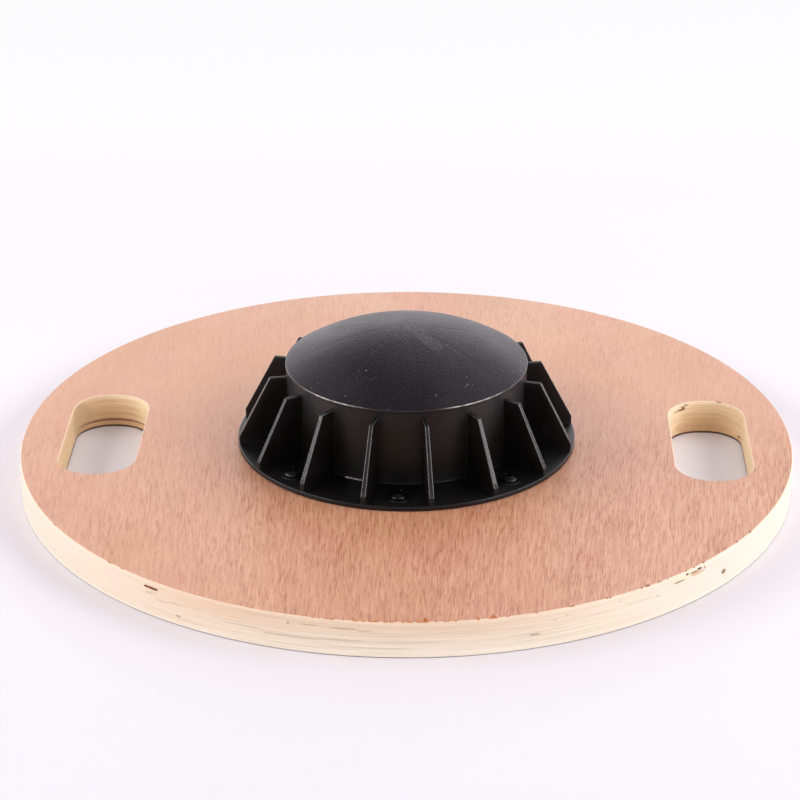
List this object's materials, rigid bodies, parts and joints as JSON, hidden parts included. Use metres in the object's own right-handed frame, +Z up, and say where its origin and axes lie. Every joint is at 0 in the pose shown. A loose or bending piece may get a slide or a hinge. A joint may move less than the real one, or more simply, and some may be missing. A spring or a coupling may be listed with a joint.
{
  "type": "wobble board",
  "caption": "Round plywood wobble board with two hand slots and a ribbed black plastic dome screwed to its underside, lying with the dome up.",
  "frame": {"origin": "centre of the dark grip face, which is the lowest face as the board lies with its dome up", "axes": "+Z up through the centre of the dome; the two hand slots lie on the X axis, their long sides along Y"},
  "size_m": [0.4, 0.4, 0.0802],
  "materials": {
    "red_veneer": "smooth sanded reddish hardwood veneer, thinly sealed, fine open pores",
    "pale_ply": "sawn and sanded birch ply, grain along the edge",
    "tan_ply": "sawn and sanded birch ply, end grain at the edge",
    "grip_film": "dark brown phenolic film, matte, fine non-slip texture",
    "black_plastic": "moulded black plastic, satin, finely textured dome, smoother ribs and flange",
    "black_steel": "black finished steel, glossy"
  },
  "bodies": {
    "root": {"grip_facing": "grip_film", "back_veneer": "red_veneer", "core_ply_1": "pale_ply", "core_ply_2": "tan_ply", "core_ply_3": "pale_ply", "core_ply_4": "tan_ply", "core_ply_5": "pale_ply", "core_ply_6": "tan_ply", "core_ply_7": "pale_ply", "core_ply_8": "tan_ply", "core_ply_9": "pale_ply", "face_veneer": "red_veneer", "dome_base": "black_plastic", "screw_1": "black_steel", "screw_2": "black_steel", "screw_3": "black_steel", "screw_4": "black_steel", "screw_5": "black_steel", "screw_6": "black_steel", "screw_7": "black_steel", "screw_8": "black_steel"}
  },
  "joints": []
}
